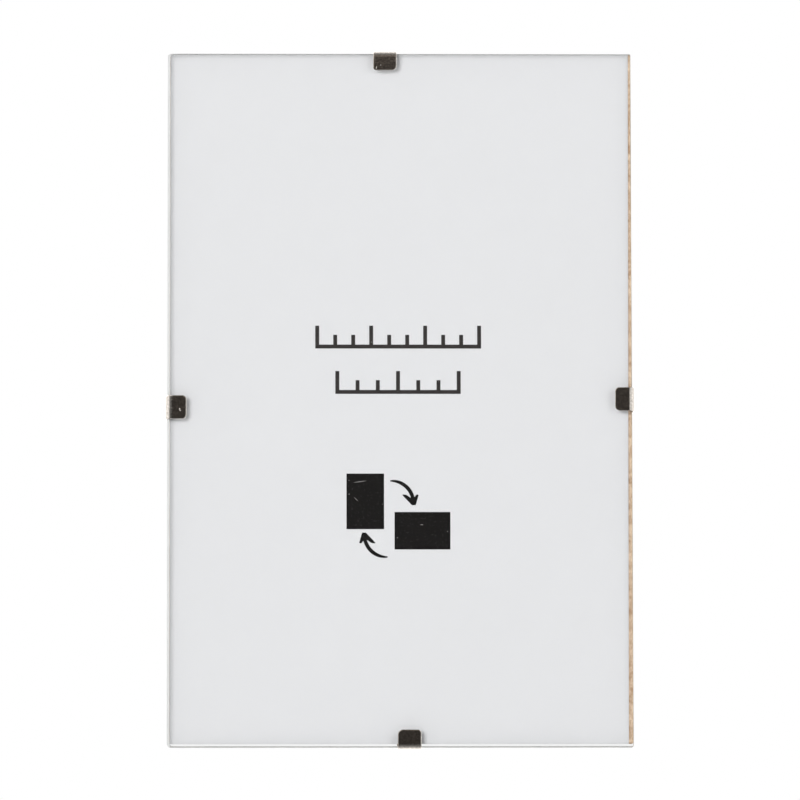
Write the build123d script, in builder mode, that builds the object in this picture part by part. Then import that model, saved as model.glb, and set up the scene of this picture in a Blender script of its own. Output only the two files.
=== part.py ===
from build123d import *
import os

# Clip frame for a 10 by 15 cm picture, in millimetres.
# It hangs upright: X runs across the picture, Z up, and the glass faces -Y.
# The origin lies on the wall that the clips' loops bear on, behind the middle of the glass.

# Glass pane, whose outline is the outline of the whole frame
pane_width = 100.0
pane_height = 150.0
pane_thickness = 2.0
pane_corner_radius = 0.5
pane_arris = 0.4

# Printed sheet behind the glass, by how far each of its edges lies inside the pane's.
# Its top edge stands a little above the pane's, so that margin is negative.
sheet_thickness = 0.2
sheet_left_margin = 0.55
sheet_right_margin = 0.9
sheet_top_margin = -0.15
sheet_bottom_margin = 0.8

# Backing board, which sits a little up and to the right behind the pane
board_thickness = 3.0
board_left_margin = 0.5
board_right_margin = -0.1
board_top_margin = -0.2
board_bottom_margin = 0.85
board_corner_radius = 0.4

# Slots through the board for the clips' teeth, one behind the middle of each edge
slot_length = 14.0
slot_height = 2.4

# Spring clips: one bent steel strip each, all four alike
clip_steel = 0.3
clip_width = 5.1
clip_clearance = 0.05
lip_reach = 3.85
lip_corner_radius = 0.8
front_bend_radius = 0.6
edge_rounding = 0.2

# Raised loop on the rear of a clip, with the round eye that a nail goes through
eye_radius = 2.0
eye_rim = 1.8
eye_land = 0.6
loop_rise = 1.6
loop_slope = 2.2
loop_bend_radius = 0.8
neck_radius = 1.2

# Tail of a clip, which lies flat on the board and ends in the tooth
tail_width = 4.0
tail_length = 5.9
tail_bend_radius = 0.3
tooth_depth = 2.0
tooth_setback = 0.2

# Each clip's place, as a share of the way from its slot's middle to the slot's end
top_clip_share = -0.82
bottom_clip_share = 0.53
left_clip_share = -0.466
right_clip_share = 0.0

# The board's top and right edges hold these two clips a little further out
top_clip_lift = 0.25
right_clip_lift = 0.2

# Distances from the pane's edge inwards, that follow from the sizes above
eye_reach = eye_radius + eye_rim
loop_flat_reach = eye_reach + eye_radius + eye_land
loop_foot_reach = loop_flat_reach + loop_slope
tooth_reach = loop_foot_reach + tail_length
slot_reach = tooth_reach - tooth_setback

# Distances from the wall forwards, and other sizes that follow
board_rear = loop_rise + clip_steel
board_front = board_rear + board_thickness
pane_rear = board_front + sheet_thickness
stack_depth = board_thickness + sheet_thickness + pane_thickness
half_width = pane_width / 2
half_height = pane_height / 2
clip_play = (slot_length - slot_height - tail_width) / 2

os.makedirs("parts", exist_ok=True)


def inset_sheet(left, right, bottom, top):
    """Size and middle of a sheet whose edges lie this far inside the pane's."""
    size = (pane_width - left - right, pane_height - bottom - top)
    centre = ((left - right) / 2, (bottom - top) / 2)
    return size, centre


# Backing board: fibreboard with a slot through it behind the middle of each edge
board_size, board_centre = inset_sheet(
    board_left_margin, board_right_margin, board_bottom_margin, board_top_margin
)
with BuildPart() as backing_board:
    with BuildSketch(Plane.XZ.offset(board_rear)):
        with Locations(board_centre):
            RectangleRounded(*board_size, radius=board_corner_radius)
        with Locations((0, half_height - slot_reach), (0, slot_reach - half_height)):
            SlotOverall(slot_length, slot_height, mode=Mode.SUBTRACT)
        with Locations((half_width - slot_reach, 0), (slot_reach - half_width, 0)):
            SlotOverall(slot_length, slot_height, rotation=90, mode=Mode.SUBTRACT)
    extrude(amount=board_thickness)

backing_board.part.label = "backing_board"
export_step(backing_board.part, "parts/backing_board.step")


# Printed sheet: heavy paper that lies flat between the board and the glass
sheet_size, sheet_centre = inset_sheet(
    sheet_left_margin, sheet_right_margin, sheet_bottom_margin, sheet_top_margin
)
with BuildPart() as printed_sheet:
    with BuildSketch(Plane.XZ.offset(board_front)):
        with Locations(sheet_centre):
            Rectangle(*sheet_size)
    extrude(amount=sheet_thickness)

printed_sheet.part.label = "printed_sheet"
export_step(printed_sheet.part, "parts/printed_sheet.step")


# Glass pane: rounded corners, and an arris ground off all round both faces
with BuildPart() as glass_pane:
    with BuildSketch(Plane.XZ.offset(pane_rear)):
        RectangleRounded(pane_width, pane_height, radius=pane_corner_radius)
    extrude(amount=pane_thickness)
    chamfer(faces().filter_by(Axis.Y).edges(), length=pane_arris)

glass_pane.part.label = "glass_pane"
export_step(glass_pane.part, "parts/glass_pane.step")


def spring_clip(grip):
    """One clip, on the plane where it grips the board's rear at the pane's edge.

    That plane's X runs along the edge, its Y to the rear and its Z outwards.
    """
    side = Plane(grip.origin, x_dir=grip.y_dir, z_dir=grip.x_dir)
    front = Plane(grip.origin, x_dir=grip.x_dir, z_dir=-grip.y_dir)
    outwards = Axis(grip.origin, grip.z_dir)
    lip_rear = stack_depth + clip_clearance
    web_top = clip_clearance + clip_steel
    tail_end = tooth_reach + clip_steel
    with BuildPart() as clip:
        # Seen from the front, the lip and the web are a strip with rounded corners
        with BuildSketch(front):
            with Locations((0, (web_top - lip_reach) / 2)):
                Rectangle(clip_width, web_top + lip_reach)
            lip_corners = vertices().group_by(Axis.Y)[0]
            fillet(lip_corners, radius=lip_corner_radius)
        extrude(amount=lip_rear + clip_steel)
        # Seen from behind, the leg widens to the loop's ring and narrows to the tail
        with BuildSketch(front):
            with Locations((0, (web_top - eye_reach) / 2)):
                Rectangle(clip_width, web_top + eye_reach)
            with Locations((0, -(eye_reach + tail_end) / 2)):
                Rectangle(tail_width, tail_end - eye_reach)
            with Locations((0, -eye_reach)):
                Circle(eye_radius + eye_rim)
            tail_corners, tail_necks, web_necks, web_corners = vertices().group_by(Axis.Y)
            fillet(tail_necks + web_necks, radius=neck_radius)
            with Locations((0, -eye_reach)):
                Circle(eye_radius, mode=Mode.SUBTRACT)
        extrude(amount=-board_rear)
        with BuildSketch(front):
            with Locations((0, -(tooth_reach + tail_end) / 2)):
                Rectangle(tail_width, clip_steel)
        extrude(amount=tooth_depth)
        # Seen from the side, the strip is folded round the glass and the board
        with BuildSketch(side):
            with BuildLine():
                FilletPolyline(
                    (-lip_rear, -lip_reach),
                    (-lip_rear, clip_clearance),
                    (loop_rise, clip_clearance),
                    (loop_rise, -loop_flat_reach),
                    (clip_clearance, -loop_foot_reach),
                    (clip_clearance, -tooth_reach),
                    (-tooth_depth, -tooth_reach),
                    radius=(
                        front_bend_radius,
                        loop_bend_radius,
                        loop_bend_radius,
                        loop_bend_radius,
                        tail_bend_radius,
                    ),
                )
                offset(amount=clip_steel, side=Side.LEFT)
            make_face()
        extrude(amount=eye_radius + eye_rim, both=True, mode=Mode.INTERSECT)
        # The stamped edges on the outside are rolled over a little
        lip_front = faces().filter_by(Axis.Y).sort_by(Axis.Y)[0]
        fillet(lip_front.edges().sort_by(outwards)[:-1], radius=edge_rounding)
    return clip


grips = {
    "clip_top": Plane(
        (clip_play * top_clip_share, -board_rear, half_height + top_clip_lift),
        x_dir=(1, 0, 0),
        z_dir=(0, 0, 1),
    ),
    "clip_right": Plane(
        (half_width + right_clip_lift, -board_rear, clip_play * right_clip_share),
        x_dir=(0, 0, -1),
        z_dir=(1, 0, 0),
    ),
    "clip_bottom": Plane(
        (clip_play * bottom_clip_share, -board_rear, -half_height),
        x_dir=(-1, 0, 0),
        z_dir=(0, 0, -1),
    ),
    "clip_left": Plane(
        (-half_width, -board_rear, clip_play * left_clip_share),
        x_dir=(0, 0, 1),
        z_dir=(-1, 0, 0),
    ),
}

for name, grip in grips.items():
    clip = spring_clip(grip)
    clip.part.label = name
    export_step(clip.part, f"parts/{name}.step")
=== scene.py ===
import math

import bmesh
import bpy
from bpy.props import FloatProperty, FloatVectorProperty, PointerProperty
from mathutils import Matrix, Vector, noise


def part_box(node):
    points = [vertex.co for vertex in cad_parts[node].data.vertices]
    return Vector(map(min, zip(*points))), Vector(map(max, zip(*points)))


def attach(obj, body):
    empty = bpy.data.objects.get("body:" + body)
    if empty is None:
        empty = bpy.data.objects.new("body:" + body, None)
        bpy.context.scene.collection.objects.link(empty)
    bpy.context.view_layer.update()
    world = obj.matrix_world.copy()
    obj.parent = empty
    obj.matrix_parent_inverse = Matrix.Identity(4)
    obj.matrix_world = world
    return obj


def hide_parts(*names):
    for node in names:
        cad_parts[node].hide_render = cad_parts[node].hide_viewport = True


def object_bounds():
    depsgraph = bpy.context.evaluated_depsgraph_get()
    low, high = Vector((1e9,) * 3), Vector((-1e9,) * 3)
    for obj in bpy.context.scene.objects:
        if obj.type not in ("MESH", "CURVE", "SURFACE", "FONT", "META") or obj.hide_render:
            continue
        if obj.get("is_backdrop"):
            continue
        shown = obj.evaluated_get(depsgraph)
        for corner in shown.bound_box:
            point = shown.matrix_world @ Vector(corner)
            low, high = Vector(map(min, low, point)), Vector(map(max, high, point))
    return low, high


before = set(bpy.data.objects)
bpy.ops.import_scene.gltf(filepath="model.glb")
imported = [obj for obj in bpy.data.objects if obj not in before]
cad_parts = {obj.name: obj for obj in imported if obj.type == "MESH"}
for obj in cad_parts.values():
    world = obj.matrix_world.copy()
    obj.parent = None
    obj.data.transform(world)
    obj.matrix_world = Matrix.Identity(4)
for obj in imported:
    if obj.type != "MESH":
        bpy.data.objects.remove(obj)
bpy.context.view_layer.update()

bl_info = {
    "name": "Clip Frame Looks",
    "version": (1, 0, 0),
    "blender": (4, 5, 0),
    "location": "View3D > Sidebar > Clip Frame",
    "description": "Glass, printed paper, fibreboard and nickelled clips round the packed clip frame",
    "category": "Object",
}

# Lengths in this file are millimetres, and one scale turns them to the metres of the frame
MM = 0.001

CLIPS = ("clip_top", "clip_right", "clip_bottom", "clip_left")

# How a rounded edge leaves its face, as shares of its radius: how far in, and how deep
ROUND_STEPS = 5
ROUND_SHARES = [
    (1 - math.sin(turn), 1 - math.cos(turn))
    for turn in (math.pi / 2 * step / ROUND_STEPS for step in range(ROUND_STEPS + 1))
]
# How a ground arris leaves its face: a flat slope, softened at both of its ends
ARRIS_SHARES = [(1, 0), (0.9, 0.04), (0.5, 0.46), (0.06, 0.9), (0, 1)]


def linear(code):
    """A colour written as sRGB hex, in the linear values that shaders take."""
    values = [int(code[place:place + 2], 16) / 255 for place in (1, 3, 5)]
    return [v / 12.92 if v <= 0.04045 else ((v + 0.055) / 1.055) ** 2.4 for v in values]


def length(name, description, size):
    """A property for a length given in millimetres."""
    return FloatProperty(
        name=name, description=description, default=size * MM, min=0,
        subtype="DISTANCE", unit="LENGTH", precision=5,
    )


def place(name, description, size):
    """A property for a place along an axis, given in millimetres, that may be negative."""
    return FloatProperty(
        name=name, description=description, default=size * MM,
        subtype="DISTANCE", unit="LENGTH", precision=5,
    )


def colour(name, description, code):
    """A property for a colour given as sRGB hex."""
    return FloatVectorProperty(
        name=name, description=description, default=linear(code), min=0, max=1, subtype="COLOR"
    )


def box_mm(node):
    """Lowest and highest corner of a node of the frame, in millimetres."""
    low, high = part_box(node)
    return low / MM, high / MM


class GlassSettings(bpy.types.PropertyGroup):
    left_arris: length("Left arris", "Width ground off the left edge", 0.52)
    right_arris: length("Right arris", "Width ground off the right edge", 0.04)
    top_arris: length("Top arris", "Width ground off the top edge", 0.13)
    bottom_arris: length("Bottom arris", "Width ground off the bottom edge", 0.28)
    rear_arris: length("Rear arris", "Width ground off round the rear face", 0.05)
    top_left: length("Top left corner", "Radius of this corner of the pane", 0.65)
    top_right: length("Top right corner", "Radius of this corner of the pane", 0.2)
    bottom_left: length("Bottom left corner", "Radius of this corner of the pane", 1.0)
    bottom_right: length("Bottom right corner", "Radius of this corner of the pane", 0.5)
    rear_gap: length("Rear gap", "Air that stays between the pane and the sheet", 0.04)
    tint: colour("Glass", "Body colour of the clear glass", "#FCFDFD")
    ground: colour("Ground edge", "Colour of the ground glass", "#B7B8B6")
    # Paler and darker copies of the ground glass colour: painted light on the left arris and bottom
    # wall, painted shade on the right edge
    painted_light_edge: colour("Finer edge", "The same where it was ground finer", "#E8E9E7")
    painted_shade_edge: colour("Dusty edge", "The same where the board's dust sits in it", "#A8977A")


class PaperSettings(bpy.types.PropertyGroup):
    top_right_shift: place("Top right shift", "How far the top right corner lies further out", 0.4)
    bottom_right_shift: place("Bottom right shift", "The same for the bottom right corner", -0.05)
    white: colour("Paper", "Colour of the sheet", "#E5E5E7")
    fleck: colour("Fibre", "Colour of the darker fibres in the sheet", "#E0E0E2")


class PrintSettings(bpy.types.PropertyGroup):
    stroke: length("Stroke", "Width of the lines of the two scales", 0.85)
    film: length("Ink film", "Thickness of the printed ink", 0.015)
    scale_height: length("Scale height", "Height of the long marks", 4.95)
    upper_length: length("Upper scale", "Length of the upper scale", 35.75)
    lower_length: length("Lower scale", "Length of the lower scale", 27.0)
    long_side: length("Long side", "Long side of the two filled rectangles", 12.0)
    short_side: length("Short side", "Short side of the two filled rectangles", 8.08)
    ink: colour("Ink", "Colour of the solid ink", "#161515")
    line_ink: colour("Line ink", "Colour of the ink where only lines are printed", "#373433")


class BoardSettings(bpy.types.PropertyGroup):
    edge_radius: length("Edge", "Radius of the sawn and sanded edges", 0.12)
    corner_radius: length("Corner", "Radius of the corners", 0.4)
    foot_trim: length("Foot trim", "What was sanded off the bottom edge", 0.1)
    slot_length: length("Slot length", "Length of the slots for the clips' teeth", 14.0)
    slot_height: length("Slot height", "Height of the slots for the clips' teeth", 2.4)
    slot_reach: length("Slot reach", "From the pane's edge to the middle of a slot", 14.3)
    light: colour("Light fibre", "Colour of the pale fibres", "#F5DDC2")
    dark: colour("Dark fibre", "Colour of the dark fibres", "#B69476")


class ClipSettings(bpy.types.PropertyGroup):
    steel: length("Steel", "Thickness of the steel", 0.3)
    width: length("Width", "Width of the lip and the web", 5.1)
    lip_reach: length("Lip", "How far the lip reaches over the glass", 3.85)
    rolled_edge: length("Rolled edge", "Radius of the edges on the outside of the bend", 0.2)
    sheared_edge: length("Sheared edge", "Radius of the edges on the inside of the bend", 0.05)
    front_bend: length("Front bend", "Inner radius of the bend at the glass", 1.0)
    softer_bend: length("Softer bend", "What the left clip's radius there is larger", 0.3)
    loop_bend: length("Loop bend", "Radius of the loop's bends", 0.8)
    tail_bend: length("Tail bend", "Inner radius of the bend at the tooth", 0.3)
    eye: length("Eye", "Radius of the eye", 2.0)
    rim: length("Rim", "Steel round the eye", 1.8)
    neck: length("Neck", "Radius where the ring joins the web and the tail", 1.2)
    land: length("Land", "Flat steel past the eye", 0.6)
    slope: length("Slope", "Length of the slope behind the loop", 2.2)
    tail_width: length("Tail width", "Width of the tail and the tooth", 4.0)
    tail_length: length("Tail length", "Length of the flat tail", 5.9)
    tooth: length("Tooth", "Depth of the tooth", 2.0)
    clearance: length("Clearance", "Air between the steel and what it grips", 0.05)
    nickel: colour("Nickel", "Colour of the plating", "#D8D1C9")
    dull_nickel: colour("Dull nickel", "Colour of the plating in its pits", "#B2ACA5")


class StageSettings(bpy.types.PropertyGroup):
    distance: FloatProperty(
        name="Distance", description="From the camera to the glass", default=1.5, unit="LENGTH"
    )
    elevation: FloatProperty(
        name="Elevation", description="Height of the camera above the horizon",
        default=math.radians(-5.831), subtype="ANGLE",
    )
    azimuth: FloatProperty(
        name="Azimuth", description="Turn of the camera round the object",
        default=math.radians(-1.08), subtype="ANGLE",
    )
    roll: FloatProperty(
        name="Roll", description="Turn of the camera about its own axis",
        default=math.radians(-0.0885), subtype="ANGLE",
    )
    lens: FloatProperty(name="Lens", description="Focal length in millimetres", default=313.74)
    floor_drop: FloatProperty(
        name="Floor", description="Depth of the floor under the object", default=0.16, unit="LENGTH"
    )
    key: FloatProperty(name="Key", description="Share of plain light from the key lamp", default=0.63)
    side: FloatProperty(name="Side", description="Share of plain light from the right", default=0.165)
    fill: FloatProperty(name="Fill", description="Share of plain light from all round", default=0.245)
    floor: colour("Floor", "Colour of the floor", "#F0F0EF")
    dark_room: colour("Room", "What mirrors see behind the camera", "#3F3C3A")


# Materials


def add_node(owner, kind, values=None, links=None, **settings):
    """Adds a node to a material or world: its settings, constant inputs and what feeds the others."""
    node = owner.node_tree.nodes.new(kind)
    for name, value in settings.items():
        setattr(node, name, value)
    for name, value in (values or {}).items():
        node.inputs[name].default_value = value
    for name, source in (links or {}).items():
        owner.node_tree.links.new(source, node.inputs[name])
    return node


def new_material(name):
    """An empty material whose nodes are yet to come, and its output node."""
    material = bpy.data.materials.new(name)
    material.use_nodes = True
    material.node_tree.nodes.clear()
    return material, add_node(material, "ShaderNodeOutputMaterial")


def rgba(values):
    """A linear colour with full alpha."""
    return (*values, 1)


def lamps_pass(material, shader, output, share):
    """Lets lamps and soft light through glass: that share of them passes, seen by nothing else."""
    path = add_node(material, "ShaderNodeLightPath")
    unseen = add_node(
        material, "ShaderNodeMath", operation="MAXIMUM",
        links={0: path.outputs["Is Shadow Ray"], 1: path.outputs["Is Diffuse Ray"]},
    )
    clear = add_node(material, "ShaderNodeBsdfTransparent", {"Color": (share, share, share, 1)})
    mix = add_node(
        material, "ShaderNodeMixShader",
        links={0: unseen.outputs[0], 1: shader, 2: clear.outputs[0]},
    )
    material.node_tree.links.new(mix.outputs[0], output.inputs["Surface"])


def float_glass(settings):
    """Soda-lime float glass with fire-polished faces: quite clear, with sharp mirrorings."""
    material, output = new_material("float_glass_clear")
    body = add_node(
        material, "ShaderNodeBsdfPrincipled",
        {
            "Base Color": rgba(settings.tint), "Roughness": 0.0, "IOR": 1.52,
            "Transmission Weight": 1.0,
        },
    )
    lamps_pass(material, body.outputs[0], output, 1.0)
    return material


def ground_glass(name, tone):
    """The pane's edge, seamed by hand on a wet belt: frosted, pale, with grinding lines."""
    material, output = new_material(name)
    where = add_node(material, "ShaderNodeTexCoord")
    grit = add_node(
        material, "ShaderNodeTexNoise", {"Scale": 1 / (0.15 * MM), "Detail": 2.0},
        {"Vector": where.outputs["Object"]},
    )
    bump = add_node(
        material, "ShaderNodeBump", {"Strength": 0.1, "Distance": 0.02 * MM},
        {"Height": grit.outputs[0]},
    )
    rough = add_node(
        material, "ShaderNodeMapRange", {"To Min": 0.2, "To Max": 0.4},
        {"Value": grit.outputs[0]},
    )
    body = add_node(
        material, "ShaderNodeBsdfPrincipled",
        {"Base Color": rgba(tone), "IOR": 1.52, "Transmission Weight": 0.42},
        {"Normal": bump.outputs[0], "Roughness": rough.outputs[0]},
    )
    lamps_pass(material, body.outputs[0], output, 0.5)
    return material


def offset_paper(settings):
    """Smooth wood-free offset paper: an even matt white, a little cool, with the faintest cloud."""
    material, output = new_material("offset_paper_calendered")
    where = add_node(material, "ShaderNodeTexCoord")
    cloud = add_node(
        material, "ShaderNodeTexNoise", {"Scale": 1 / (3.0 * MM), "Detail": 6.0, "Roughness": 0.7},
        {"Vector": where.outputs["Object"]},
    )
    tone = add_node(
        material, "ShaderNodeMix", {6: rgba(settings.fleck), 7: rgba(settings.white)},
        {0: cloud.outputs[0]}, data_type="RGBA",
    )
    fibre = add_node(
        material, "ShaderNodeTexNoise", {"Scale": 1 / (0.12 * MM), "Detail": 3.0},
        {"Vector": where.outputs["Object"]},
    )
    bump = add_node(
        material, "ShaderNodeBump", {"Strength": 0.15, "Distance": 0.01 * MM},
        {"Height": fibre.outputs[0]},
    )
    body = add_node(
        material, "ShaderNodeBsdfPrincipled",
        {"Roughness": 0.85, "IOR": 1.45, "Specular IOR Level": 0.3},
        {"Base Color": tone.outputs[2], "Normal": bump.outputs[0]},
    )
    material.node_tree.links.new(body.outputs[0], output.inputs["Surface"])
    return material


def printing_ink(name, solid, scratches):
    """Black offset ink: a deep flat black with fine rubs where the sheet has slid under the glass."""
    material, output = new_material(name)
    where = add_node(material, "ShaderNodeTexCoord")
    rubs = add_node(
        material, "ShaderNodeTexNoise", {"Scale": 1 / (0.5 * MM), "Detail": 5.0, "Roughness": 0.65},
        {"Vector": where.outputs["Object"]},
    )
    share = add_node(
        material, "ShaderNodeMapRange", {"From Min": 0.58, "From Max": 0.75, "To Max": 0.1},
        {"Value": rubs.outputs[0]},
    )
    tone = add_node(
        material, "ShaderNodeMix", {6: rgba(solid), 7: rgba(linear("#A8A8A6"))},
        {0: share.outputs[0]}, data_type="RGBA",
    )
    bare = add_node(
        material, "ShaderNodeMix", {7: rgba(linear("#8E8C8A"))},
        {0: marks(material, where.outputs["Object"], scratches), 6: tone.outputs[2]},
        data_type="RGBA",
    )
    body = add_node(
        material, "ShaderNodeBsdfPrincipled",
        {"Roughness": 0.6, "IOR": 1.5, "Specular IOR Level": 0.1},
        {"Base Color": bare.outputs[2]},
    )
    material.node_tree.links.new(body.outputs[0], output.inputs["Surface"])
    return material


def fibreboard(settings):
    """Medium-density fibreboard, sanded: matt tan felt of pale and dark fibres about 1 mm long."""
    material, output = new_material("fibreboard_sanded")
    where = add_node(material, "ShaderNodeTexCoord")
    patch = add_node(
        material, "ShaderNodeTexNoise", {"Scale": 1 / (2.2 * MM), "Detail": 6.0, "Roughness": 0.72},
        {"Vector": where.outputs["Object"]},
    )
    bundle = add_node(
        material, "ShaderNodeMapping", {"Rotation": (0.4, 0.7, 0.3), "Scale": (1.0, 1.0, 0.28)},
        {"Vector": where.outputs["Object"]},
    )
    strand = add_node(
        material, "ShaderNodeTexNoise", {"Scale": 1 / (0.22 * MM), "Detail": 4.0, "Roughness": 0.7},
        {"Vector": bundle.outputs[0]},
    )
    both = add_node(
        material, "ShaderNodeMix", {0: 0.45}, {2: patch.outputs[0], 3: strand.outputs[0]},
        data_type="FLOAT",
    )
    spread = add_node(
        material, "ShaderNodeMapRange", {"From Min": 0.4, "From Max": 0.6},
        {"Value": both.outputs[0]},
    )
    tone = add_node(
        material, "ShaderNodeMix", {6: rgba(settings.dark), 7: rgba(settings.light)},
        {0: spread.outputs[0]}, data_type="RGBA",
    )
    bump = add_node(
        material, "ShaderNodeBump", {"Strength": 0.4, "Distance": 0.05 * MM},
        {"Height": strand.outputs[0]},
    )
    body = add_node(
        material, "ShaderNodeBsdfPrincipled", {"Roughness": 0.8, "IOR": 1.45},
        {"Base Color": tone.outputs[2], "Normal": bump.outputs[0]},
    )
    material.node_tree.links.new(body.outputs[0], output.inputs["Surface"])
    return material


def marks(material, where, spots):
    """A mask that is 1 on small oval marks: (x, y, z) of each in mm, its half sizes and its turn."""
    mask = None
    for centre, sizes, turn in spots:
        placed = add_node(
            material, "ShaderNodeMapping",
            {
                "Location": Vector(centre) * MM, "Rotation": (0, math.radians(turn), 0),
                "Scale": Vector(sizes) * MM,
            },
            {"Vector": where}, vector_type="TEXTURE",
        )
        oval = add_node(
            material, "ShaderNodeTexGradient", links={"Vector": placed.outputs[0]},
            gradient_type="SPHERICAL",
        )
        if mask:
            both = add_node(
                material, "ShaderNodeMath", links={0: mask, 1: oval.outputs[1]},
                operation="MAXIMUM",
            )
            mask = both.outputs[0]
        else:
            mask = oval.outputs[1]
    edged = add_node(material, "ShaderNodeMapRange", {"From Max": 0.4}, {"Value": mask})
    return edged.outputs[0]


def nickelled_steel(settings, scrapes_and_painted_highlight):
    """Tumbled spring steel, nickel-plated: a warm mirror, mottled by dents, pits and scrapes, with one
    pale mark on the left clip's bend that is a painted highlight.
    """
    material, output = new_material("spring_steel_nickel_plated")
    where = add_node(material, "ShaderNodeTexCoord")
    cloud = add_node(
        material, "ShaderNodeTexNoise", {"Scale": 1 / (0.9 * MM), "Detail": 5.0, "Roughness": 0.6},
        {"Vector": where.outputs["Object"]},
    )
    rough = add_node(
        material, "ShaderNodeMapRange",
        {"From Min": 0.35, "From Max": 0.7, "To Min": 0.08, "To Max": 0.16},
        {"Value": cloud.outputs[0]},
    )
    # Pits of 0.2 mm, where the plating is dull
    pits = add_node(
        material, "ShaderNodeTexNoise", {"Scale": 1 / (0.35 * MM), "Detail": 3.0, "Roughness": 0.7},
        {"Vector": where.outputs["Object"]},
    )
    bright = add_node(
        material, "ShaderNodeMapRange", {"From Min": 0.4, "From Max": 0.6},
        {"Value": pits.outputs[0]},
    )
    tone = add_node(
        material, "ShaderNodeMix",
        {6: rgba(settings.dull_nickel), 7: rgba(settings.nickel)}, {0: bright.outputs[0]},
        data_type="RGBA",
    )
    dent = add_node(
        material, "ShaderNodeTexNoise", {"Scale": 1 / (0.8 * MM), "Detail": 3.0, "Roughness": 0.6},
        {"Vector": where.outputs["Object"]},
    )
    bump = add_node(
        material, "ShaderNodeBump", {"Strength": 1.0, "Distance": 0.025 * MM},
        {"Height": dent.outputs[0]},
    )
    body = add_node(
        material, "ShaderNodeBsdfPrincipled", {"Metallic": 1.0},
        {"Base Color": tone.outputs[2], "Roughness": rough.outputs[0], "Normal": bump.outputs[0]},
    )
    # Scrapes down to rough metal, which scatter the lamps' light instead of mirroring the room. The
    # mark on the left clip's bend is a painted highlight: the same pale matt patch, put where the bend
    # mirrors a bright light
    scraped_metal_and_highlight = add_node(
        material, "ShaderNodeBsdfPrincipled",
        {"Base Color": rgba(settings.nickel), "Roughness": 0.6, "Specular IOR Level": 0.2},
    )
    scrape_and_highlight_mask = marks(material, where.outputs["Object"], scrapes_and_painted_highlight)
    mix = add_node(
        material, "ShaderNodeMixShader",
        links={0: scrape_and_highlight_mask, 1: body.outputs[0], 2: scraped_metal_and_highlight.outputs[0]},
    )
    material.node_tree.links.new(mix.outputs[0], output.inputs["Surface"])
    return material


# Outlines: loops of points with the material on their left


def arc(centre, radius, start, end, steps=8):
    """Points round a centre, from one angle to another in degrees."""
    angles = [math.radians(start + (end - start) * step / steps) for step in range(steps + 1)]
    return [Vector(centre) + radius * Vector((math.cos(a), math.sin(a))) for a in angles]


def rounded_box(left, right, bottom, top, radii):
    """A box with a radius for each corner: bottom left, bottom right, top right, top left."""
    corners = [(left, bottom, 1, 1), (right, bottom, -1, 1), (right, top, -1, -1), (left, top, 1, -1)]
    loop = []
    for number, ((x, z, inward_x, inward_z), radius) in enumerate(zip(corners, radii)):
        centre = (x + inward_x * radius, z + inward_z * radius)
        start = 180 + 90 * number
        loop += arc(centre, radius, start, start + 90)
    return loop


def with_spacing(loop, spacing):
    """The same loop with more points, no further apart than the spacing."""
    points = []
    for here, after in zip(loop, loop[1:] + loop[:1]):
        pieces = max(1, math.ceil((after - here).length / spacing))
        points += [here.lerp(after, step / pieces) for step in range(pieces)]
    return points


def round_hole(centre, radius, steps=40):
    """A hole's loop, which runs the other way round."""
    return arc(centre, radius, 360, 0, steps)[:-1]


def mitres(loop):
    """For each point, the way into the material that moves both of its sides by 1."""
    ways = []
    for before, here, after in zip(loop[-1:] + loop[:-1], loop, loop[1:] + loop[:1]):
        first = (here - before).normalized()
        second = (after - here).normalized()
        left = Vector((-first.y - second.y, first.x + second.x))
        ways.append(left / (1 + first.dot(second)))
    return ways


# Meshes


def plate(loops, thickness, front, rear, edge_slot=0):
    """A closed plate in its own plane. Its third coordinate is the depth behind its front face.

    front and rear are pairs: the shares by which an edge leaves its face, and how wide
    it is at a point of the outline.
    """
    mesh = bmesh.new()
    front_edges, rear_edges = [], []
    for loop in loops:
        ways = mitres(loop)
        rings = []
        for inset, depth in front[0]:
            rings.append([
                (point + way * inset * front[1](point), depth * front[1](point))
                for point, way in zip(loop, ways)
            ])
        for inset, depth in reversed(rear[0]):
            rings.append([
                (point + way * inset * rear[1](point), thickness - depth * rear[1](point))
                for point, way in zip(loop, ways)
            ])
        rings = [[mesh.verts.new((*point, depth)) for point, depth in ring] for ring in rings]
        for upper, lower in zip(rings, rings[1:]):
            for spot in range(len(loop)):
                face = mesh.faces.new(
                    (upper[spot - 1], upper[spot], lower[spot], lower[spot - 1])
                )
                face.material_index = edge_slot
        front_edges += [mesh.edges.get((rings[0][s - 1], rings[0][s])) for s in range(len(loop))]
        rear_edges += [mesh.edges.get((rings[-1][s - 1], rings[-1][s])) for s in range(len(loop))]
    for edges in (front_edges, rear_edges):
        bmesh.ops.triangle_fill(mesh, use_beauty=True, use_dissolve=False, edges=edges)
    return mesh


def even(width):
    """The same width at every point of an outline."""
    return lambda point: width


def facing_front(front_depth):
    """Takes a plate to the frame's axes, with its front face at that depth."""
    return lambda point: Vector((point.x, front_depth + point.z, point.y))


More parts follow.
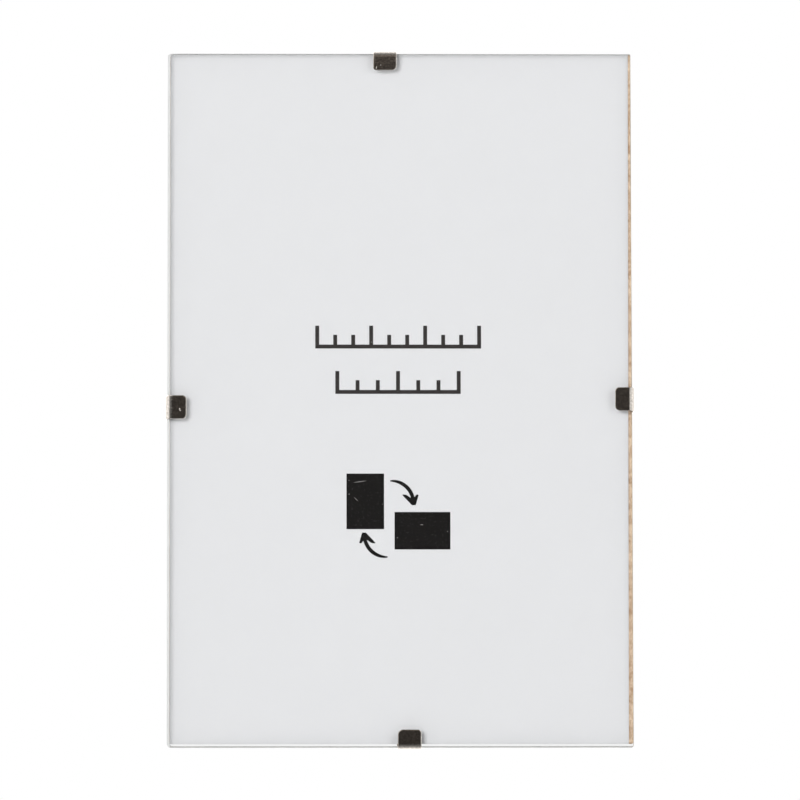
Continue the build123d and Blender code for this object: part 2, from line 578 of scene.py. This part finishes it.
def make_piece(name, mesh, spot, materials, body, nodes=(), crease=40):
    """Turns a mesh into a piece of the object: placed, smoothed, and seated on its body.

    Edges that turn by more than the crease, in degrees, stay sharp.
    """
    for vert in mesh.verts:
        vert.co = spot(vert.co) * MM
    bmesh.ops.recalc_face_normals(mesh, faces=mesh.faces)
    # Thin plates may come out of that inside out, which clear glass would show
    if mesh.calc_volume(signed=True) < 0:
        bmesh.ops.reverse_faces(mesh, faces=mesh.faces)
    for face in mesh.faces:
        face.smooth = True
    data = bpy.data.meshes.new(name)
    mesh.to_mesh(data)
    mesh.free()
    data.set_sharp_from_angle(angle=math.radians(crease))
    for material in materials:
        data.materials.append(material)
    piece = bpy.data.objects.new(name, data)
    bpy.context.scene.collection.objects.link(piece)
    weighted = piece.modifiers.new("even_faces", "WEIGHTED_NORMAL")
    weighted.keep_sharp = True
    weighted.weight = 100
    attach(piece, body)
    if nodes:
        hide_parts(*nodes)
    return piece


# Operators


def front_bend(settings, node):
    """The inner radius of a clip's bend at the glass. The left clip has been bent open more."""
    softer = settings.softer_bend / MM if node == "clip_left" else 0
    return settings.front_bend / MM + softer


class CLIPFRAME_OT_glass(bpy.types.Operator):
    """Make the glass pane, with its arrises ground by hand to a different width on each edge"""

    bl_idname = "clipframe.glass"
    bl_label = "Glass pane"

    def execute(self, context):
        settings = context.scene.clipframe_glass
        low, high = box_mm("glass_pane")
        sides = {
            side: getattr(settings, f"{side}_arris") / MM
            for side in ("left", "right", "bottom", "top")
        }
        # How near a corner the arrises blend, and how far the left one's width reaches round it
        reach, left_weight = 0.25, 300
        # How much the ground widths vary, and over what length
        wave_share, wave_length = 0.1, 9.0
        # Each clip's bed: ground back for the bend, with a twentieth of room, and fading at its ends
        clips = context.scene.clipframe_clips
        room = 1.05
        bed_fade = 0.1
        bed_end = (clips.width / MM + bed_fade) / 2
        beds = []
        for node in CLIPS:
            bend = front_bend(clips, node)
            bed_arris = bend - math.sqrt(2 * room * bend * clips.clearance / MM)
            clip_low, clip_high = box_mm(node)
            middle = (clip_low + clip_high) / 2
            if abs(middle.z) > abs(middle.x):
                bed = Vector((middle.x, math.copysign(high.z, middle.z)))
            else:
                bed = Vector((math.copysign(high.x, middle.x), middle.z))
            beds.append((bed, bed_arris))

        def arris(point):
            """Each edge's own width, blended at the corners, a little uneven along its length."""
            near = {
                "left": point.x - low.x,
                "right": high.x - point.x,
                "bottom": point.y - low.z,
                "top": high.z - point.y,
            }
            shares = {side: 1 / (max(gap, 0) + reach) ** 4 for side, gap in near.items()}
            shares["left"] *= left_weight
            width = sum(sides[side] * share for side, share in shares.items())
            wave = noise.noise(Vector((point.x, point.y, 0)) / wave_length)
            width = width / sum(shares.values()) * (1 + wave_share * wave)
            for bed, bed_arris in beds:
                hidden = min(max((bed_end - (point - bed).length) / bed_fade, 0), 1)
                width += max(bed_arris - width, 0) * hidden
            return width

        corners = ("bottom_left", "bottom_right", "top_right", "top_left")
        radii = [getattr(settings, corner) / MM for corner in corners]
        loop = rounded_box(low.x, high.x, low.z, high.z, radii)
        # Points where each clip's bed ends, in the loop's own order, on the side that it lies on
        corner_room, near_side = 5, 0.3
        for bed, _ in beds:
            for before, after in zip(loop, loop[1:] + loop[:1]):
                side = (after - before).normalized()
                along = (bed - before).dot(side)
                beside = abs((bed - before).cross(side))
                if corner_room < along < (after - before).length and beside < near_side:
                    ends = [
                        before + side * (along + way)
                        for way in (-bed_end, bed_fade - bed_end, bed_end - bed_fade, bed_end)
                    ]
                    spot = loop.index(before) + 1
                    loop[spot:spot] = ends
                    break
        thickness = high.y - low.y - settings.rear_gap / MM
        spacing = 1.0
        mesh = plate(
            [with_spacing(loop, spacing)], thickness, (ARRIS_SHARES, arris),
            (ARRIS_SHARES, even(settings.rear_arris / MM)), edge_slot=1,
        )
        # The right edge, below the corner, takes a darker olive copy of the ground glass: painted shade
        # for an edge turned away from the key lamp, with the board behind it.
        # The arris of the left edge and the wall of the bottom edge take a paler copy: painted light.
        arris_limit, wall_limit, painted_shade_width, unshaded_top = 0.6, 0.02, 0.2, 0.5
        for face in mesh.faces:
            middle = face.calc_center_median()
            left_arris = middle.x < low.x + arris_limit and middle.z < arris_limit
            bottom_wall = middle.y < low.z + wall_limit and middle.z > arris_limit
            right_edge = middle.x > high.x - painted_shade_width and middle.y < high.z - unshaded_top
            if face.material_index and right_edge:
                face.material_index = 2
            elif face.material_index and (left_arris or bottom_wall):
                face.material_index = 3
        edges = [
            # The ground glass's own colour, then its painted shade and painted light copies
            ground_glass("float_glass_ground_edge", settings.ground),
            ground_glass("float_glass_ground_edge_painted_shade", settings.painted_shade_edge),
            ground_glass("float_glass_ground_edge_painted_light", settings.painted_light_edge),
        ]
        make_piece(
            "float_glass", mesh, facing_front(low.y), [float_glass(settings), *edges],
            "pane_and_board", ["glass_pane"], crease=15,
        )
        return {"FINISHED"}


class CLIPFRAME_OT_paper(bpy.types.Operator):
    """Make the paper sheet, laid in a touch askew"""

    bl_idname = "clipframe.paper"
    bl_label = "Paper sheet"

    def execute(self, context):
        settings = context.scene.clipframe_paper
        low, high = box_mm("printed_sheet")
        loop = [
            Vector((low.x, low.z)),
            Vector((high.x + settings.bottom_right_shift / MM, low.z)),
            Vector((high.x + settings.top_right_shift / MM, high.z)),
            Vector((low.x, high.z)),
        ]
        cut_radius = 0.03
        cut = (ROUND_SHARES, even(cut_radius))
        mesh = plate([loop], high.y - low.y, cut, cut)
        make_piece(
            "paper_sheet", mesh, facing_front(low.y), [offset_paper(settings)],
            "pane_and_board", ["printed_sheet"],
        )
        return {"FINISHED"}


def scale_loop(middle, span, height, stroke, count):
    """One loop for a plain scale: a base line with marks on it, of which every third one is long."""
    short_share = 0.6
    left = middle.x - span / 2
    base = middle.y - height / 2
    pitch = (span - stroke) / (count - 1)
    loop = [Vector((left, base)), Vector((left + span, base))]
    for mark in reversed(range(count)):
        top = base + (height if mark % 3 == 0 else height * short_share)
        right = left + stroke + pitch * mark
        loop += [Vector((right, top)), Vector((right - stroke, top))]
        if mark:
            loop += [
                Vector((right - stroke, base + stroke)),
                Vector((right - pitch, base + stroke)),
            ]
    return loop


def arrow_loop(tip, turn):
    """One bent arrow: a tapered shaft on an arc, and a blunt open head, turned about its tip."""
    radius, hub = 4.73, Vector((-4.82, 0.52))
    # Half widths of the shaft's thin end, and what is added up to the head
    thin_end, added = 0.13, 0.28
    first, last = 93, 14
    steps = 16
    outer, inner = [], []
    for step in range(steps + 1):
        share = step / steps
        angle = math.radians(first + (last - first) * share)
        way = Vector((math.cos(angle), math.sin(angle)))
        swell = thin_end + added * (1 - (1 - share) ** 4)
        outer.append(hub + way * (radius + swell))
        inner.append(hub + way * (radius - swell))
    head_right = [(-0.4, 0), (0.42, 0), (1.04, 2.15), (0.88, 2.31), (0.56, 2.29)]
    head_left = [(-1.6, 2.25), (-2.3, 2.32), (-2.48, 2.2)]
    points = [*map(Vector, head_right), *reversed(outer), *inner, *map(Vector, head_left)]
    spin = Matrix.Rotation(turn, 2)
    return [Vector(tip) + spin @ point for point in points]


class CLIPFRAME_OT_printing(bpy.types.Operator):
    """Print the sheet: two plain scales, and the figure of a frame turned from upright to lengthways"""

    bl_idname = "clipframe.printing"
    bl_label = "Printing"

    # Small scratches in the ink: place in mm, half sizes, and turn in degrees
    line_scratches = (((-6.0, -5.1, 12.4), (0.3, 0.3, 0.06), 30),)
    solid_scratches = (
        ((-8.56, -5.1, -17.75), (1.6, 0.3, 0.09), -8),
        ((-10.92, -5.1, -17.46), (0.12, 0.3, 0.12), 0),
        ((-10.9, -5.1, -20.45), (0.12, 0.3, 0.12), -11),
        ((-9.41, -5.1, -21.53), (0.75, 0.3, 0.06), 44),
        ((-3.65, -5.1, -22.6), (0.12, 0.3, 0.1), 0),
        ((4.72, -5.1, -27.05), (0.38, 0.3, 0.09), 0),
        ((10.26, -5.1, -28.49), (0.12, 0.3, 0.12), 0),
        ((-0.52, -5.1, -29.85), (0.12, 0.3, 0.12), 0),
    )

    def execute(self, context):
        settings = context.scene.clipframe_print
        low, high = box_mm("printed_sheet")
        film = settings.film / MM
        stroke = settings.stroke / MM
        height = settings.scale_height / MM
        long_side = settings.long_side / MM
        short_side = settings.short_side / MM
        upper_middle = Vector((-0.3, 13.53))
        lower_middle = Vector((-0.35, 3.7))
        upright = Vector((-7.43, -22.0))
        lengthways = Vector((4.86, -28.34))
        arrow_tip = Vector((3.0, -22.83))
        turning_point = Vector((-2.35, -25.79))
        corner = 0.05
        line_ink = printing_ink("offset_ink_lines", settings.line_ink, self.line_scratches)
        solid_ink = printing_ink("offset_ink_solid", settings.ink, self.solid_scratches)
        half = Vector((short_side, long_side)) / 2
        turned = Vector((long_side, short_side)) / 2
        prints = {
            "upper_scale": (
                scale_loop(upper_middle, settings.upper_length / MM, height, stroke, 10), line_ink,
            ),
            "lower_scale": (
                scale_loop(lower_middle, settings.lower_length / MM, height, stroke, 7), line_ink,
            ),
            "upright_figure": (
                rounded_box(
                    upright.x - half.x, upright.x + half.x,
                    upright.y - half.y, upright.y + half.y, [corner] * 4,
                ),
                solid_ink,
            ),
            "lengthways_figure": (
                rounded_box(
                    lengthways.x - turned.x, lengthways.x + turned.x,
                    lengthways.y - turned.y, lengthways.y + turned.y, [corner] * 4,
                ),
                solid_ink,
            ),
            "arrow_to_lengthways": (arrow_loop(arrow_tip, 0), solid_ink),
            "arrow_to_upright": (
                arrow_loop(2 * turning_point - arrow_tip, math.pi), solid_ink,
            ),
        }
        # The film has square edges, and sinks half as far into the sheet as it stands out of it
        square = ([(0, 0)], even(0))
        for name, (loop, ink) in prints.items():
            mesh = plate([loop], film * 1.5, square, square)
            make_piece(
                f"ink_{name}", mesh, facing_front(low.y - film), [ink], "pane_and_board",
            )
        return {"FINISHED"}


class CLIPFRAME_OT_board(bpy.types.Operator):
    """Make the fibreboard back with its four slots"""

    bl_idname = "clipframe.board"
    bl_label = "Fibreboard back"

    def execute(self, context):
        settings = context.scene.clipframe_board
        low, high = box_mm("backing_board")
        pane_low, pane_high = box_mm("glass_pane")
        reach = settings.slot_reach / MM
        end = settings.slot_height / MM / 2
        half = settings.slot_length / MM / 2 - end
        foot = low.z + settings.foot_trim / MM
        loops = [rounded_box(low.x, high.x, foot, high.z, [settings.corner_radius / MM] * 4)]
        middles = [
            (Vector((0, pane_high.z - reach)), 0), (Vector((0, pane_low.z + reach)), 0),
            (Vector((pane_high.x - reach, 0)), 90), (Vector((pane_low.x + reach, 0)), 90),
        ]
        for middle, turn in middles:
            along = Vector((math.cos(math.radians(turn)), math.sin(math.radians(turn)))) * half
            loops.append(
                arc(middle + along, end, turn + 90, turn - 90, 16)
                + arc(middle - along, end, turn - 90, turn - 270, 16)
            )
        sanded = (ROUND_SHARES, even(settings.edge_radius / MM))
        mesh = plate(loops, high.y - low.y, sanded, sanded)
        make_piece(
            "fibreboard_back", mesh, facing_front(low.y), [fibreboard(settings)],
            "pane_and_board", ["backing_board"],
        )
        return {"FINISHED"}


def folded_strip(corners, radii, steel):
    """Runs and arcs of a folded strip, as (start, heading, turn, radius, length).

    The corners are those of its inner face, and the steel lies on the left of it.
    The length is measured along the middle of the steel.
    """
    pieces = []
    start = corners[0]
    for before, corner, after, radius in zip(corners, corners[1:], corners[2:], radii):
        heading = (corner - before).normalized()
        leaving = (after - corner).normalized()
        turn = math.atan2(heading.cross(leaving), heading.dot(leaving))
        setback = radius * math.tan(abs(turn) / 2)
        run = (corner - start).length - setback
        pieces.append((start, heading, 0, 0, run))
        middle = radius - math.copysign(steel / 2, turn)
        pieces.append((corner - heading * setback, heading, turn, radius, abs(turn) * middle))
        start = corner + leaving * setback
    last = corners[-1] - start
    pieces.append((start, last.normalized(), 0, 0, last.length))
    return pieces


def fold(pieces, along, height):
    """The point that far along the strip and that high above its inner face, seen from the side."""
    for start, heading, turn, radius, run in pieces:
        if along <= run:
            break
        along -= run
    else:
        along = run
    left = Vector((-heading.y, heading.x))
    if not turn:
        return start + heading * along + left * height
    towards = math.copysign(radius, turn)
    spun = Matrix.Rotation(turn * along / run, 2) @ (left * (height - towards))
    return start + left * towards + spun


class CLIPFRAME_OT_clips(bpy.types.Operator):
    """Make the four spring clips: a flat stamping with an eye, then folded round the frame"""

    bl_idname = "clipframe.clips"
    bl_label = "Spring clips"

    # Radii of the lip's two corners, the one further along the edge first
    lip_corners = {
        "clip_top": (0.95, 0.65),
        "clip_right": (1.05, 0.8),
        "clip_bottom": (1.05, 0.8),
        "clip_left": (0.9, 0.95),
    }
    # Degrees between the cuts that let a fold bend
    fold_step = 9
    # What this clip's lip is longer than the others
    longer_lip = {"clip_left": 0.3}
    # Small scrapes on the plating, and a painted highlight on the left clip's bend: place in mm, half
    # sizes, and turn in degrees
    scrapes_and_painted_highlight = (
        ((-47.34, -7.45, -2.2), (0.14, 0.3, 0.22), 20),
        ((-47.2, -7.45, -2.55), (0.2, 0.3, 0.1), 0),
        # The left clip's bend: a painted highlight, not a scrape
        ((-49.3, -7.3, 0.73), (0.3, 0.4, 0.08), 0),
        ((-4.95, -7.45, 71.95), (0.07, 0.3, 0.4), 12),
        ((-4.0, -7.45, 72.5), (0.09, 0.3, 0.09), 0),
    )
    # Along the edge and outwards from the pane, in the frame's axes
    axes = {
        "clip_top": ((1, 0, 0), (0, 0, 1)),
        "clip_right": ((0, 0, -1), (1, 0, 0)),
        "clip_bottom": ((-1, 0, 0), (0, 0, -1)),
        "clip_left": ((0, 0, 1), (-1, 0, 0)),
    }

    def flat_outline(self, settings, eye, end, corners):
        """The stamping's outline in its flat state, across and along the strip, and the eye's."""
        half = settings.width / MM / 2
        tail = settings.tail_width / MM / 2
        ring = (settings.eye + settings.rim) / MM
        neck = settings.neck / MM
        tooth_corner = 0.3
        sides = []
        for lip in corners:
            side = arc((half - lip, lip), lip, -90, 0, 10)
            for edge, way in ((half, -1), (tail, 1)):
                rise = math.sqrt((ring + neck) ** 2 - (edge + neck) ** 2) * way
                meets = math.degrees(math.atan2(-rise, -(edge + neck))) % 360
                bends = arc((edge + neck, eye + rise), neck, 180, meets, 8)
                leaves = math.degrees(math.atan2(rise, edge + neck))
                if way < 0:
                    side += bends
                    first = leaves
                else:
                    side += arc((0, eye), ring, first, leaves, 30)[1:-1]
                    side += reversed(bends)
            side += arc((tail - tooth_corner, end - tooth_corner), tooth_corner, 0, 90, 5)
            sides.append(side)
        right, left = sides
        mirrored = [Vector((-point.x, point.y)) for point in reversed(left)]
        return [right + mirrored, round_hole((0, eye), settings.eye / MM)]

    def execute(self, context):
        settings = context.scene.clipframe_clips
        steel = settings.steel / MM
        clearance = settings.clearance / MM
        eye_reach = (settings.eye + settings.rim) / MM
        flat_reach = eye_reach + (settings.eye + settings.land) / MM
        foot_reach = flat_reach + settings.slope / MM
        tooth_reach = foot_reach + settings.tail_length / MM
        board_low, board_high = box_mm("backing_board")
        nickel = nickelled_steel(settings, self.scrapes_and_painted_highlight)
        rolled = (ROUND_SHARES, even(settings.rolled_edge / MM))
        sheared = (ROUND_SHARES, even(settings.sheared_edge / MM))
        for node, (edge_way, outward) in self.axes.items():
            low, high = box_mm(node)
            edge_way, outward = Vector(edge_way), Vector(outward)
            rear = Vector((0, 1, 0))
            middle = (low + high) / 2
            web = max(outward.dot(low), outward.dot(high)) - steel - clearance
            grip = edge_way * edge_way.dot(middle) + outward * web
            grip.y = board_high.y
            lip = low.y + steel - board_high.y
            loop_inside = high.y - steel - board_high.y
            corners = [
                Vector(corner) for corner in (
                    (lip, -settings.lip_reach / MM - self.longer_lip.get(node, 0)),
                    (lip, clearance), (loop_inside, clearance),
                    (loop_inside, -flat_reach), (clearance, -foot_reach),
                    (clearance, -tooth_reach), (-settings.tooth / MM, -tooth_reach),
                )
            ]
            loop_bend = settings.loop_bend / MM
            radii = [
                front_bend(settings, node), loop_bend, loop_bend, loop_bend,
                settings.tail_bend / MM,
            ]
            pieces = folded_strip(corners, radii, steel)
            total = sum(piece[-1] for piece in pieces)
            to_loop = sum(piece[-1] for piece in pieces[:4])
            eye = to_loop + pieces[4][0].y + eye_reach
            loops = self.flat_outline(settings, eye, total, self.lip_corners[node])
            mesh = plate(loops, steel, rolled, sheared)
            station = 0
            # A cut across the stamping at each fold, and every few degrees round it
            for piece in pieces:
                cuts = max(1, math.ceil(abs(math.degrees(piece[2])) / self.fold_step))
                for cut in range(cuts):
                    if station > 0 or cut:
                        bmesh.ops.bisect_plane(
                            mesh, geom=mesh.verts[:] + mesh.edges[:] + mesh.faces[:],
                            plane_co=(0, station + piece[-1] * cut / cuts, 0),
                            plane_no=(0, 1, 0), dist=1e-5,
                        )
                station += piece[-1]

            def folded(point):
                """From the flat stamping to its place on the frame."""
                side = fold(pieces, point.y, steel - point.z)
                return grip + rear * side.x + outward * side.y + edge_way * point.x

            body = node.removeprefix("clip_") + "_clip"
            make_piece(f"nickelled_{node}", mesh, folded, [nickel], body, [node])
        return {"FINISHED"}


def aim(thing, target, roll=0.0):
    """Turns a lamp or camera to look at a point."""
    way = Vector(target) - thing.location
    spin = Matrix.Rotation(roll, 3, "Z").to_quaternion()
    thing.rotation_euler = (way.to_track_quat("-Z", "Y") @ spin).to_euler()


class CLIPFRAME_OT_stage(bpy.types.Operator):
    """Set the floor, the lamps, the surroundings and the camera"""

    bl_idname = "clipframe.stage"
    bl_label = "Stage"

    def lamp(self, name, way, distance, size, share, target):
        """A square soft lamp that gives a facing surface that share of plain light."""
        data = bpy.data.lights.new(name, "AREA")
        data.shape = "SQUARE"
        data.size = size
        data.energy = share * math.pi ** 2 * distance ** 2
        thing = bpy.data.objects.new(name, data)
        bpy.context.scene.collection.objects.link(thing)
        thing.location = target + Vector(way).normalized() * distance
        aim(thing, target)
        return thing

    def panel(self, name, middle, width, height, facing, material):
        """A flat stage panel that faces a point."""
        mesh = bmesh.new()
        corners = [(-width, -height), (width, -height), (width, height), (-width, height)]
        mesh.faces.new([mesh.verts.new((x / 2, y / 2, 0)) for x, y in corners])
        data = bpy.data.meshes.new(name)
        mesh.to_mesh(data)
        mesh.free()
        data.materials.append(material)
        thing = bpy.data.objects.new(name, data)
        bpy.context.scene.collection.objects.link(thing)
        thing.location = middle
        way = Vector(facing) - thing.location
        thing.rotation_euler = way.to_track_quat("Z", "Y").to_euler()
        thing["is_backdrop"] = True
        return thing

    def surroundings(self, settings):
        """White to sight, soft even light to matt things, and a studio to mirrorings."""
        world = bpy.data.worlds.new("white_surroundings")
        world.use_nodes = True
        world.node_tree.nodes.clear()
        output = add_node(world, "ShaderNodeOutputWorld")
        path = add_node(world, "ShaderNodeLightPath")
        where = add_node(world, "ShaderNodeTexCoord")
        way = add_node(world, "ShaderNodeSeparateXYZ", links={0: where.outputs["Generated"]})

        # A dim room behind the camera, ever lighter towards the white behind the object
        rearwards = add_node(
            world, "ShaderNodeMapRange", {"From Min": -1.0}, {"Value": way.outputs["Y"]}
        )
        room = add_node(world, "ShaderNodeValToRGB", links={"Fac": rearwards.outputs[0]})
        ramp = room.color_ramp
        ramp.elements[0].position = 0.01
        ramp.elements[0].color = rgba(settings.dark_room)
        ramp.elements[1].position = 0.8
        ramp.elements[1].color = (1.6, 1.6, 1.6, 1)
        steps = (
            (26, 0.095), (44, 0.17), (61, 0.27), (68, 0.36), (84, 0.5), (94, 0.75), (110, 1.3),
        )
        for angle, level in steps:
            step = ramp.elements.new((1 - math.cos(math.radians(angle))) / 2)
            step.color = (level, level, level, 1)

        # White walls, the right one nearer, a pale ceiling, and a softbox at the upper left
        right = add_node(
            world, "ShaderNodeMapRange", {"From Min": 0.2, "From Max": 0.62, "To Max": 1.05},
            {"Value": way.outputs["X"]}, interpolation_type="SMOOTHSTEP",
        )
        sideways = add_node(
            world, "ShaderNodeMath", links={0: way.outputs["X"]}, operation="ABSOLUTE"
        )
        both = add_node(
            world, "ShaderNodeMapRange", {"From Min": 0.2, "To Max": 1.1},
            {"Value": sideways.outputs[0]},
        )
        both = add_node(world, "ShaderNodeMath", {1: 5.0}, {0: both.outputs[0]}, operation="POWER")
        above = add_node(
            world, "ShaderNodeMapRange", {"From Min": 0.12, "From Max": 0.22, "To Max": 1.3},
            {"Value": way.outputs["Z"]}, interpolation_type="SMOOTHSTEP",
        )
        ceiling = add_node(
            world, "ShaderNodeMapRange",
            {"From Min": 0.06, "From Max": 0.3, "To Max": 0.24}, {"Value": way.outputs["Z"]},
        )
        warm = add_node(
            world, "ShaderNodeMix", {6: (0, 0, 0, 1), 7: (1.0, 0.9, 0.82, 1)},
            {0: ceiling.outputs[0]}, data_type="RGBA",
        )
        beside = add_node(
            world, "ShaderNodeMapRange", {"From Min": -0.12, "From Max": -0.3},
            {"Value": way.outputs["X"]}, interpolation_type="SMOOTHSTEP",
        )
        softbox = add_node(
            world, "ShaderNodeMath", links={0: above.outputs[0], 1: beside.outputs[0]},
            operation="MULTIPLY",
        )
        walls = add_node(
            world, "ShaderNodeMath", links={0: right.outputs[0], 1: both.outputs[0]},
            operation="MAXIMUM",
        )
        walls = add_node(
            world, "ShaderNodeMath", links={0: walls.outputs[0], 1: softbox.outputs[0]},
            operation="MAXIMUM",
        )
        dim = add_node(
            world, "ShaderNodeMix", {0: 1.0}, {6: room.outputs["Color"], 7: warm.outputs[2]},
            data_type="RGBA", blend_type="LIGHTEN",
        )
        studio = add_node(
            world, "ShaderNodeMix", {0: 1.0}, {6: dim.outputs[2], 7: walls.outputs[0]},
            data_type="RGBA", blend_type="LIGHTEN",
        )
        # Through the glass it is no brighter than the white that the camera sees
        plain = add_node(
            world, "ShaderNodeMix", {0: 1.0, 7: (1, 1, 1, 1)}, {6: studio.outputs[2]},
            data_type="RGBA", blend_type="DARKEN",
        )
        seen = add_node(
            world, "ShaderNodeMix",
            links={0: path.outputs["Is Transmission Ray"], 6: studio.outputs[2], 7: plain.outputs[2]},
            data_type="RGBA",
        )
        mirrored = add_node(world, "ShaderNodeBackground", links={"Color": seen.outputs[2]})
        fill = add_node(
            world, "ShaderNodeBackground", {"Color": (1, 1, 1, 1), "Strength": settings.fill}
        )
        white = add_node(world, "ShaderNodeBackground", {"Color": (1, 1, 1, 1), "Strength": 1.0})
        matt = add_node(
            world, "ShaderNodeMixShader",
            links={0: path.outputs["Is Diffuse Ray"], 1: mirrored.outputs[0], 2: fill.outputs[0]},
        )
        mix = add_node(
            world, "ShaderNodeMixShader",
            links={0: path.outputs["Is Camera Ray"], 1: matt.outputs[0], 2: white.outputs[0]},
        )
        world.node_tree.links.new(mix.outputs[0], output.inputs["Surface"])
        bpy.context.scene.world = world

    def execute(self, context):
        settings = context.scene.clipframe_stage
        scene = context.scene
        # The point of the pane's front that the photograph's camera looks at
        target = Vector((0.046 * MM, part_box("glass_pane")[0].y, -0.232 * MM))

        floor_paint, output = new_material("floor_paint_matt")
        body = add_node(
            floor_paint, "ShaderNodeBsdfPrincipled",
            {"Base Color": rgba(settings.floor), "Roughness": 0.9, "Specular IOR Level": 0.1},
        )
        floor_paint.node_tree.links.new(body.outputs[0], output.inputs["Surface"])
        floor_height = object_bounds()[0].z - settings.floor_drop
        floor_size = 5
        floor = self.panel(
            "floor", (0, 0, floor_height), floor_size, floor_size, (0, 0, floor_height + 1),
            floor_paint,
        )
        floor.visible_glossy = False

        # Neither front lamp is mirrored by the clips, nor by the rear face of the pane
        key = self.lamp("key_lamp", (-0.36, -1, 0.18), 3.0, 1.2, settings.key, target)
        side = self.lamp("side_lamp", (0.7, -1, 0.2), 1.3, 0.75, settings.side, target)
        for front_lamp in (key, side):
            front_lamp.visible_glossy = False
            front_lamp.visible_transmission = False
        self.lamp("rear_lamp", (-0.5, 1, 0.8), 2.5, 1.0, 0.5, target)
        self.surroundings(settings)

        camera_data = bpy.data.cameras.new("camera")
        camera_data.lens = settings.lens
        camera_data.clip_start = 0.01
        camera = bpy.data.objects.new("camera", camera_data)
        scene.collection.objects.link(camera)
        level = math.cos(settings.elevation)
        back = Vector((
            math.sin(settings.azimuth) * level, -math.cos(settings.azimuth) * level,
            math.sin(settings.elevation),
        ))
        camera.location = target + back * settings.distance
        aim(camera, target, settings.roll)
        scene.camera = camera
        scene.view_settings.view_transform = "Standard"
        return {"FINISHED"}


# Panel, registration and the run itself


OPERATORS = (
    CLIPFRAME_OT_board, CLIPFRAME_OT_paper, CLIPFRAME_OT_printing, CLIPFRAME_OT_glass,
    CLIPFRAME_OT_clips, CLIPFRAME_OT_stage,
)
SETTINGS = {
    "clipframe_glass": GlassSettings,
    "clipframe_paper": PaperSettings,
    "clipframe_print": PrintSettings,
    "clipframe_board": BoardSettings,
    "clipframe_clips": ClipSettings,
    "clipframe_stage": StageSettings,
}


class CLIPFRAME_PT_panel(bpy.types.Panel):
    """The clip frame's pieces, with their sizes and colours"""

    bl_idname = "CLIPFRAME_PT_panel"
    bl_label = "Clip Frame"
    bl_space_type = "VIEW_3D"
    bl_region_type = "UI"
    bl_category = "Clip Frame"

    def draw(self, context):
        for operator in OPERATORS:
            self.layout.operator(operator.bl_idname)
        for name, group in SETTINGS.items():
            box = self.layout.box()
            for prop in group.__annotations__:
                box.prop(getattr(context.scene, name), prop)


def register():
    for group in SETTINGS.values():
        bpy.utils.register_class(group)
    for name, group in SETTINGS.items():
        setattr(bpy.types.Scene, name, PointerProperty(type=group))
    for thing in (*OPERATORS, CLIPFRAME_PT_panel):
        bpy.utils.register_class(thing)


def unregister():
    for thing in (CLIPFRAME_PT_panel, *reversed(OPERATORS)):
        bpy.utils.unregister_class(thing)
    for name, group in SETTINGS.items():
        delattr(bpy.types.Scene, name)
        bpy.utils.unregister_class(group)


def main():
    register()
    bpy.ops.clipframe.board()
    bpy.ops.clipframe.paper()
    bpy.ops.clipframe.printing()
    bpy.ops.clipframe.glass()
    bpy.ops.clipframe.clips()
    bpy.ops.clipframe.stage()


if __name__ == "__main__":
    main()
